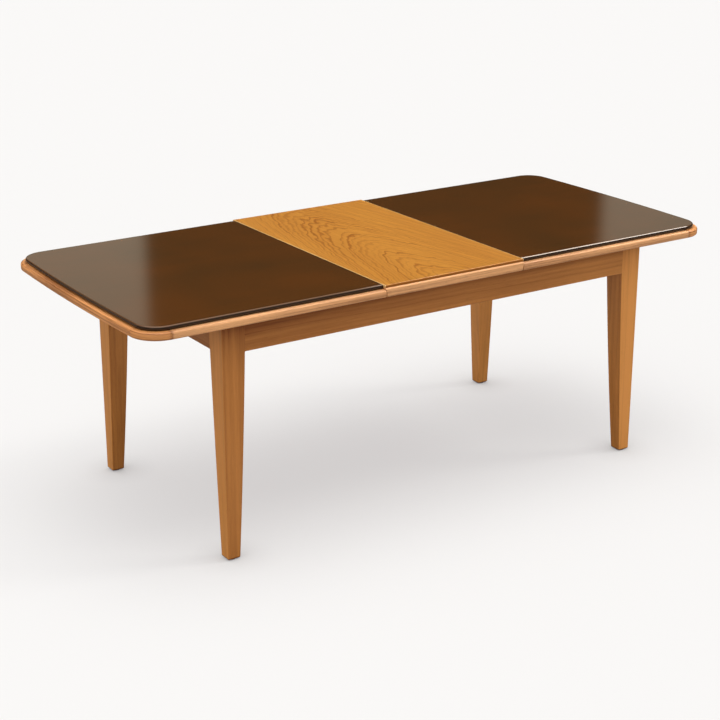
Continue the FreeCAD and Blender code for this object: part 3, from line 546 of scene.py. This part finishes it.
# How much deeper the marks at the start and stop of each piece are, from the front seam round.
JOINT_DEPTHS = {
    "front": (0, 0.45), "corner_front": (0.45, 0.12), "end": (0.12, 0.12),
    "corner_back": (0.12, 0.45), "back": (0.45, 0),
}

# The straights are pale beech. The bent pieces are steamed to bend them, which turns beech redder,
# and those of the left end come from a deeper batch.
edging_cut = {
    "heart": (0.20, 0.12), "taper": 0.01, "ring_mm": 8, "wander_mm": 8, "wave_mm": 2,
    "figure": 0.29, "streak": 1.0, "roughness": 0.4, "streaks_per_m": 190,
}
straight_beech = wood("straight_beech", "e3a66f", "7d4422", **edging_cut)
steamed_beech = wood("steamed_beech", "e99f5c", "7a4219", **edging_cut)


def edging_section(low, high):
    """Return the edging's section between two heights as closed (inset, height) points."""
    corners = [(EDGING_DEPTH, low), (0, low), (0, high), (EDGING_DEPTH, high)]
    radii = (EDGING_BACK_ARRIS, EDGING_BOTTOM_ROUND, EDGING_TOP_ROUND, EDGING_BACK_ARRIS)
    return rounded_polygon(corners, radii, steps=9)


def edging_rings(part, low, high):
    """Carry the edging's section along one stretch of the outline.

    At both ends it is drawn in by the ease of the joint, over as short a length, and a further
    station closes the joint's mark. Stations between points P and Q lie at P + (Q - P) * share.
    """
    section = edging_section(low, high)
    full = edge_run(part, section[:, 0], np.full(len(section), seam))
    run_length = np.linalg.norm(np.diff(full, axis=0), axis=-1).mean(1)
    along = np.concatenate([[0], np.cumsum(run_length)])
    drawn = drawn_in(section, JOINT_EASE)
    narrow = edge_run(part, drawn[:, 0], np.full(len(section), seam))
    ease = JOINT_EASE / run_length[[0, -1]]
    mark = JOINT_MARK / run_length[[0, -1]]
    start = full[0] + (full[1] - full[0]) * np.array([ease[0], mark[0]])[:, None, None]
    stop = full[-1] + (full[-2] - full[-1]) * np.array([mark[1], ease[1]])[:, None, None]
    plan = np.concatenate([narrow[:1], start, full[1:-1], stop, narrow[-1:]])
    close = np.array([0, JOINT_EASE, JOINT_MARK])
    stations = np.concatenate([close, along[1:-1], along[-1] - close[::-1]])
    level = np.broadcast_to(section[:, 1], plan.shape[:2]).copy()
    level[[0, -1]] = drawn[:, 1]
    run = np.broadcast_to(stations[:, None], plan.shape[:2])
    across = np.broadcast_to(section[:, 0], plan.shape[:2])
    grain = np.stack([run, level, across], -1).reshape(-1, 3)
    return np.concatenate([plan, level[..., None]], -1), grain


EDGING_TONES = {
    "front": -0.22, "corner_front": -0.25, "end": -0.2, "corner_back": -0.2, "back": -0.2
}
BENT_LEFT_DEPTH = 0.17
OPPOSITE = dict(zip(PARTS, PARTS[::-1]))

for end in ("left", "right"):
    for part in PARTS:
        shown = part if end == "right" else OPPOSITE[part]
        node = f"edging_{shown}_{end}"
        low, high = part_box(node)
        rings, grain = edging_rings(part, low.z, high.z)
        straight = part in ("front", "back")
        joint_depth = np.zeros(len(rings))
        joint_depth[[0, 1]], joint_depth[[-2, -1]] = JOINT_DEPTHS[part]
        tone = EDGING_TONES[shown] + joint_depth[:, None]
        if end == "left" and not straight:
            tone += BENT_LEFT_DEPTH
        beech = straight_beech if straight else steamed_beech
        body = f"{end}_top"
        add_piece(
            f"{node}_wood", turned(rings, end), grain, beech, body, [node], tone
        )

# --- Leaf ------------------------------------------------------------------------------------
# The loose leaf is a board of crown-cut oak, so its rings open into long flames in the middle and
# close to straight lines at the sides. Its ends hold a strip of the same edging as the half-tops.
LEAF_TOP_ROUND = 0.002
LEAF_ARRIS = 0.0008
LEAF_CLEARANCE = 0.0003
LIPPING_WIDTH = 0.0025
LIPPING_DEPTH = 0.008
LIPPING_ARRIS = 0.0001
EDGE_GRAIN_AND_SHADE_DEPTH = 1.0

# Oak oiled to a golden brown. Its heart lies below the board, so the rings graze the surface.
crown_cut_oak = wood(
    "crown_cut_oak", "ca8a34", "94550f", heart=(-0.04, 0.56), taper=0.14, ring_mm=6, wander_mm=30,
    wave_mm=12, figure=0.95, streak=0.32, roughness=0.36,
)


def leaf_half_width(height):
    """Half the width of the leaf, whose long edges lean in towards the underside."""
    return seam + SEAM_LEAN * (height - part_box("panel_right")[0].z) - LEAF_CLEARANCE


def rectangle_rings(half_x, half_y, height, radius):
    """Return rounded rectangles round the origin, one ring for each height."""
    signs = np.array([(-1, -1), (1, -1), (1, 1), (-1, 1)])
    corners = np.stack([half_x, half_y], -1)[:, None, :] * signs
    plan = rounded_polygon(corners, radius, steps=3)
    level = np.broadcast_to(np.asarray(height)[:, None, None], (*plan.shape[:2], 1))
    return np.concatenate([plan, level], -1)


leaf_low, leaf_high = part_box("leaf_board")
edging_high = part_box("leaf_edging_front")[1]
rebate_y = half_width - EDGING_DEPTH
top_inset, top_drop = quarter_round(LEAF_TOP_ROUND, steps=6)
height = np.concatenate([[leaf_low.z, edging_high.z, edging_high.z], leaf_high.z - top_drop[::-1]])
half_y = np.concatenate([[rebate_y, rebate_y, leaf_high.y], leaf_high.y - top_inset[::-1]])
beside_lipping = np.where(height > leaf_high.z - LIPPING_DEPTH, LIPPING_WIDTH, 0)
half_x = leaf_half_width(height) - beside_lipping
rings = rectangle_rings(half_x, half_y, height, LEAF_ARRIS / 4)
grain = rings[..., [1, 0, 2]].reshape(-1, 3)
# Below its rounded top the leaf is deeper: the end grain's own tone and painted shade on its edge.
depth = np.where(height < leaf_high.z - LEAF_TOP_ROUND / 2, EDGE_GRAIN_AND_SHADE_DEPTH, 0)[:, None]
add_piece("leaf_board_oak", rings, grain, crown_cut_oak, "leaf", ["leaf_board"], depth)

# A thin strip of unstained beech lips each long edge of the leaf.
pale_beech = wood(
    "pale_beech", "efc98c", "d9a963", heart=(0.2, 0.3), taper=0.01, ring_mm=5, wander_mm=8,
    wave_mm=2, figure=0.3, streak=0.6, roughness=0.3,
)
lipping_low = leaf_high.z - LIPPING_DEPTH
for side, x_sign in (("left", -1), ("right", 1)):
    base, crown = leaf_half_width(np.array([lipping_low, leaf_high.z]))
    corners = [
        (base - LIPPING_WIDTH, lipping_low), (base, lipping_low),
        (crown, leaf_high.z), (crown - LIPPING_WIDTH, leaf_high.z),
    ]
    section = rounded_polygon(corners, (LIPPING_ARRIS, LIPPING_ARRIS, LEAF_ARRIS, LIPPING_ARRIS))
    reach = leaf_high.y - LEAF_TOP_ROUND / 4
    rings, grain = board_rings([-reach, reach], section, [0, 0], 1)
    rings = rings * (x_sign, 1, 1)
    name = f"leaf_lipping_{side}"
    add_piece(name, rings, grain, pale_beech, "leaf", ["leaf_board"])

for side, y_sign in (("front", -1), ("back", 1)):
    node = f"leaf_edging_{side}"
    low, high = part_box(node)
    section = edging_section(low.z, high.z)
    half_x = leaf_half_width(section[:, 1])
    share = np.array([-1, -1, 1, 1]) - np.array([0, -1, 1, 0]) * JOINT_EASE / seam
    x = share[:, None] * half_x[None, :]
    drawn = drawn_in(section, JOINT_EASE)
    placed = np.stack([drawn, section, section, drawn])
    y = y_sign * (half_width - placed[..., 0])
    rings = np.stack([x, y, placed[..., 1]], -1)
    grain = np.stack([x, placed[..., 1], placed[..., 0]], -1).reshape(-1, 3)
    tone = EDGING_TONES[side]
    add_piece(f"{node}_wood", rings, grain, straight_beech, "leaf", [node], tone)

# --- Boards, rails, runners and guides -------------------------------------------------------
# What carries the top stays out of sight: sealed boards, plain beech bars and their guides. Their
# CAD shapes are right as they are and get the grain of their own direction.
sealed_board = wood(
    "sealed_board", "bfbdbb", "a7a4a2", heart=(0.3, 0.9), taper=0.02, ring_mm=8, wander_mm=14,
    wave_mm=3, figure=0.2, streak=0.7, roughness=0.5, turn=0,
)
plain_beech = {
    turn: wood(
        f"plain_beech_{label}", "c9a27a", "ab8259", heart=(0.35, 0.9), taper=0.02, ring_mm=6,
        wander_mm=10, wave_mm=2, figure=0.4, streak=0.9, roughness=0.45, turn=turn,
    )
    for label, turn in (("along_x", 0), ("along_y", 90), ("aslant", 45), ("aslant_back", -45))
}
GRAIN_TURNS = {
    ("runner_front", "runner_back", "guide_left", "guide_right", "guide_centre"): 0,
    ("leaf_batten", "leaf_pegs", "stop_pegs"): 0,
    ("rail_",): 90,
    ("corner_brace_front_left", "corner_brace_back_right"): 45,
    ("corner_brace_front_right", "corner_brace_back_left"): -45,
}


def dress(node, material):
    """Give a CAD node a better material."""
    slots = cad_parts[node].data.materials
    slots.clear()
    slots.append(material)


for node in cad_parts:
    if node.startswith("board_"):
        dress(node, sealed_board)
    for starts, turn in GRAIN_TURNS.items():
        if node.startswith(starts):
            dress(node, plain_beech[turn])

# --- Fasteners and glides --------------------------------------------------------------------
# Zinc-plated steel screws, bolts, washers and nuts, dull and slightly mottled. The glides and
# strips are dark brown polyethylene, moulded with a fine texture.


def zinc_plate():
    """Return zinc-plated steel: a pale metal whose passivated skin has mottles of 2 mm."""
    material, tree = new_material("zinc_plated_steel")
    place = add(tree, "TexCoord").outputs["Object"]
    mottle = add(tree, "TexNoise", {"Vector": place, "Scale": 500, "Detail": 3})
    greys = {0: mottle.outputs[0], 6: linear("c9c7bf"), 7: linear("a9aba8")}
    colour = add(tree, "Mix", greys, data_type="RGBA")
    rough = add(tree, "MapRange", {0: mottle.outputs[0], 3: 0.28, 4: 0.45})
    surface = add(
        tree,
        "BsdfPrincipled",
        {"Base Color": colour.outputs[2], "Roughness": rough.outputs[0], "Metallic": 1},
    )
    add(tree, "OutputMaterial", {"Surface": surface.outputs[0]})
    return material


def glide_plastic():
    """Return moulded polyethylene: dark brown and waxy, with a grain drawn 1.1 mm coarse."""
    material, tree = new_material("moulded_polyethylene")
    place = add(tree, "TexCoord").outputs["Object"]
    texture = add(tree, "TexNoise", {"Vector": place, "Scale": 900, "Detail": 2})
    relief = add(tree, "Bump", {"Height": texture.outputs[0], "Strength": 0.3, "Distance": 0.0002})
    browns = {0: texture.outputs[0], 6: linear("33241a"), 7: linear("432f22")}
    colour = add(tree, "Mix", browns, data_type="RGBA")
    surface = add(
        tree,
        "BsdfPrincipled",
        {"Base Color": colour.outputs[2], "Roughness": 0.5, "Normal": relief.outputs[0]},
    )
    add(tree, "OutputMaterial", {"Surface": surface.outputs[0]})
    return material


zinc = zinc_plate()
polyethylene = glide_plastic()
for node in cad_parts:
    if "screws" in node or node in ("leg_bolts", "leg_washers", "leg_nuts"):
        dress(node, zinc)
    elif "glide" in node:
        dress(node, polyethylene)

# --- Floor and light -------------------------------------------------------------------------
# A seamless sheet of pale paper under a soft white sky, with one large soft light on the right.
# What shiny surfaces mirror is a darker studio: pale walls between dark openings, a bright ceiling
# and a light box high on the right. Behind everything hangs a backdrop as pale as the floor.
FLOOR_REACH = 60
# The paper's own glow, a painted light, and how much of it is lost close to the feet, a painted
# contact shadow.
PAPER_GLOW = 0.55
CONTACT_REACH = 0.12
CONTACT_SHADE = 0.35
CONTACT_SAMPLES = 8
# The soft light on the right.
KEY_BEARING = math.radians(-20)
KEY_HEIGHT = math.radians(42)
KEY_SPREAD = math.radians(14)
KEY_POWER = 0.62
# The sky that lights matt surfaces, with its bright patch overhead and its low bands.
SKY_LIGHT = 0.45
LEFT_SHARE = 0.43
FRONT_SHARE = 0.12
OVERHEAD_LIGHT = 4.9
OVERHEAD_FOCUS = 10
LOW_LEFT_LIGHT = 0.6
LOW_FRONT_LIGHT = 1.6
LOW_LIGHT_TOP = 0.35
# The mirrored studio. Its heights are sines of angles above the horizon.
CEILING_LIGHT = 0.9
SOFT_BOX_LIGHT = 3.2
SOFT_BOX_EDGE = math.sin(math.radians(56))
SOFT_BOX_SOFTNESS = 0.03
WALL_LIGHT = 0.49
WALL_TOP = math.sin(math.radians(36))
WALL_TOP_SOFTNESS = 0.06
SKIRTING_TOP = math.sin(math.radians(10.5))
SKIRTING_SOFTNESS = 0.02
OPENING_LIGHT = 0.02
OPENING_MIDDLE = math.radians(33.8)
OPENING_HALF_WIDTH = math.radians(8.3)
OPENING_SOFTNESS = math.radians(0.3)
OPENING_PITCH = math.radians(45)
SIDE_BOX_LIGHT = 12
SIDE_BOX_FROM = 0.52
SIDE_BOX_ABOVE = math.sin(math.radians(41))
SIDE_BOX_SOFTNESS = 0.05
FAR_WALL_SHARE = 0.56
FAR_WALL_FROM = 0.45

floor_corners = np.array([(-1, -1, 0), (1, -1, 0), (1, 1, 0), (-1, 1, 0)]) * FLOOR_REACH
floor_mesh = bpy.data.meshes.new("floor")
floor_mesh.from_pydata(floor_corners.tolist(), [], [(0, 1, 2, 3)])
floor = bpy.data.objects.new("floor", floor_mesh)
bpy.context.scene.collection.objects.link(floor)

# Matt paper that also glows evenly of itself, a painted light, and glows less close to the feet,
# a painted contact shadow. Light that bounces off it or is mirrored from it meets a darker sheet.
paper, tree = new_material("seamless_paper")
ray_kind = add(tree, "LightPath").outputs
grey_paper = add(tree, "BsdfDiffuse", {"Color": linear("949491")})
openness = add(tree, "AmbientOcclusion", {"Distance": CONTACT_REACH}, samples=CONTACT_SAMPLES)
glow_strength = weighted(tree, PAPER_GLOW, (openness.outputs["AO"], CONTACT_SHADE, 1))
glow = add(tree, "Emission", {"Color": linear("fffbfb"), "Strength": glow_strength})
lit_paper = add(tree, "AddShader", {0: grey_paper.outputs[0], 1: glow.outputs[0]})
mirrored_paper = add(tree, "BsdfDiffuse", {"Color": linear("757371")})
bounced_paper = add(tree, "BsdfDiffuse", {"Color": linear("989490")})
bounce = {0: ray_kind["Is Diffuse Ray"], 1: lit_paper.outputs[0], 2: bounced_paper.outputs[0]}
mirror = {
    0: ray_kind["Is Glossy Ray"],
    1: add(tree, "MixShader", bounce).outputs[0],
    2: mirrored_paper.outputs[0],
}
add(tree, "OutputMaterial", {"Surface": add(tree, "MixShader", mirror).outputs[0]})
floor_mesh.materials.append(paper)

key = bpy.data.objects.new("key_light", bpy.data.lights.new("key_light", "SUN"))
key.data.angle = KEY_SPREAD
key.data.energy = KEY_POWER
key.rotation_euler = (math.pi / 2 - KEY_HEIGHT, 0, math.pi / 2 + KEY_BEARING)
bpy.context.scene.collection.objects.link(key)

world = bpy.data.worlds.new("studio")
world.use_nodes = True
bpy.context.scene.world = world
tree = world.node_tree
tree.nodes.clear()
ray_kind = add(tree, "LightPath").outputs
right, back, up = add(tree, "SeparateXYZ", {0: add(tree, "TexCoord").outputs["Generated"]}).outputs

# The mirrored walls stand between openings that return at an even pitch all round.
azimuth = add(tree, "Math", {0: right, 1: back}, operation="ARCTAN2")
shifted = add(tree, "Math", {0: azimuth.outputs[0], 1: OPENING_MIDDLE}, operation="SUBTRACT")
beside = add(tree, "Math", {0: shifted.outputs[0], 1: OPENING_PITCH / 2}, operation="PINGPONG")
wall = add(
    tree,
    "MapRange",
    {
        0: beside.outputs[0],
        1: OPENING_HALF_WIDTH - OPENING_SOFTNESS,
        2: OPENING_HALF_WIDTH + OPENING_SOFTNESS,
        3: OPENING_LIGHT,
        4: WALL_LIGHT,
    },
    interpolation_type="SMOOTHSTEP",
)
fading = add(tree, "MapRange", {0: right, 1: FAR_WALL_FROM, 3: 1, 4: FAR_WALL_SHARE})
faded_wall = add(tree, "Math", {0: wall.outputs[0], 1: fading.outputs[0]}, operation="MULTIPLY")
upper_wall = add(
    tree,
    "MapRange",
    {
        0: up,
        1: SKIRTING_TOP - SKIRTING_SOFTNESS,
        2: SKIRTING_TOP + SKIRTING_SOFTNESS,
        3: OPENING_LIGHT,
        4: faded_wall.outputs[0],
    },
)
above = add(
    tree,
    "MapRange",
    {0: up, 1: WALL_TOP - WALL_TOP_SOFTNESS, 2: WALL_TOP + WALL_TOP_SOFTNESS},
    interpolation_type="SMOOTHSTEP",
)
ceiling = add(
    tree,
    "MapRange",
    {
        0: up,
        1: SOFT_BOX_EDGE - SOFT_BOX_SOFTNESS,
        2: SOFT_BOX_EDGE + SOFT_BOX_SOFTNESS,
        3: CEILING_LIGHT,
        4: SOFT_BOX_LIGHT,
    },
    interpolation_type="SMOOTHSTEP",
)
studio = add(
    tree,
    "Mix",
    {0: above.outputs[0], 2: upper_wall.outputs[0], 3: ceiling.outputs[0]},
    data_type="FLOAT",
)
to_the_right = add(
    tree,
    "MapRange",
    {0: right, 1: SIDE_BOX_FROM, 2: SIDE_BOX_FROM + SIDE_BOX_SOFTNESS},
    interpolation_type="SMOOTHSTEP",
)
side_box = add(
    tree,
    "MapRange",
    {0: up, 1: SIDE_BOX_ABOVE, 2: SIDE_BOX_ABOVE + SIDE_BOX_SOFTNESS, 4: SIDE_BOX_LIGHT},
    interpolation_type="SMOOTHSTEP",
)
with_side_box = {0: to_the_right.outputs[0], 1: side_box.outputs[0], 2: studio.outputs[0]}
mirrored_light = add(tree, "Math", with_side_box, operation="MULTIPLY_ADD")
warm_tints = {0: above.outputs[0], 6: linear("fffbe4"), 7: linear("fff1e2")}
mirrored_tint = add(tree, "Mix", warm_tints, data_type="RGBA")

# The sky for matt surfaces: light = even + overhead * up ** focus + low bands that fade upwards.
even = weighted(tree, SKY_LIGHT, (right, -LEFT_SHARE, 0), (back, -FRONT_SHARE, 0))
focused = {0: up, 1: OVERHEAD_FOCUS}
overhead = add(tree, "Math", focused, operation="POWER", use_clamp=True).outputs[0]
leftward = add(tree, "Math", {0: right, 1: 0}, operation="MINIMUM").outputs[0]
frontward = add(tree, "Math", {0: back, 1: 0}, operation="MINIMUM").outputs[0]
band = weighted(tree, 0, (leftward, -LOW_LEFT_LIGHT, 0), (frontward, -LOW_FRONT_LIGHT, 0))
low = add(tree, "MapRange", {0: up, 1: LOW_LIGHT_TOP, 2: 0}, interpolation_type="SMOOTHSTEP")
low_light = add(tree, "Math", {0: band, 1: low.outputs[0]}, operation="MULTIPLY").outputs[0]
room_light = weighted(tree, even, (overhead, OVERHEAD_LIGHT, 0), (low_light, 1, 0))

glossy = ray_kind["Is Glossy Ray"]
lights = {0: glossy, 2: room_light, 3: mirrored_light.outputs[0]}
light = add(tree, "Mix", lights, data_type="FLOAT")
tints = {0: glossy, 6: linear("fbfdff"), 7: mirrored_tint.outputs[2]}
tint = add(tree, "Mix", tints, data_type="RGBA")
sky = add(tree, "Background", {"Color": tint.outputs[2], "Strength": light.outputs[0]})
backdrop = add(tree, "Background", {"Color": linear("fbfaf8")})
behind = {0: ray_kind["Is Camera Ray"], 1: sky.outputs[0], 2: backdrop.outputs[0]}
add(tree, "OutputWorld", {"Surface": add(tree, "MixShader", behind).outputs[0]})
